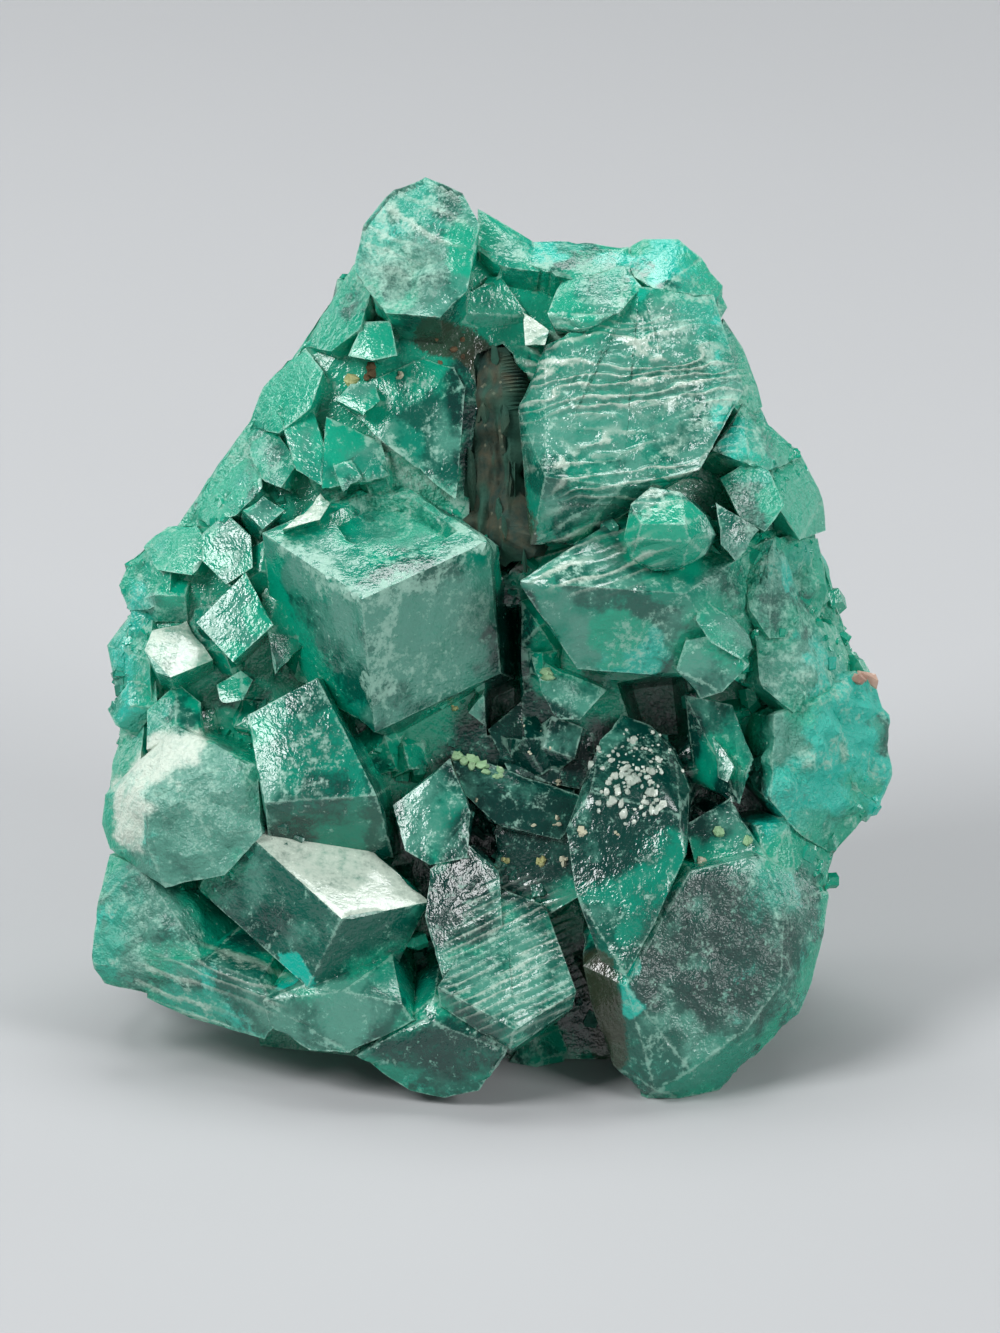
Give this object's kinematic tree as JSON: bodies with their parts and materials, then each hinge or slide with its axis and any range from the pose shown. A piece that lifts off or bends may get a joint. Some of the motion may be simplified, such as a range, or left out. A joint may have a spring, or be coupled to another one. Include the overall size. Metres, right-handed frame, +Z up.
{
  "type": "dioptase crystal cluster",
  "caption": "Free-standing cluster of dark green intergrown dioptase crystals, leaning back on a flat broken base, for display.",
  "frame": {"origin": "centre of the bounding box on the floor, under the cluster", "axes": "+Z up, the showy face turned to -Y and leaning back towards +Y, +X to the right as seen from the front"},
  "size_m": [0.0322, 0.024, 0.0328],
  "materials": {
    "dioptase": "satin to glassy crystal faces, translucent green at thin edges",
    "host_rock": "dull, rough"
  },
  "bodies": {
    "root": {"dioptase_cluster": "dioptase", "host_rock": "host_rock"}
  },
  "joints": []
}
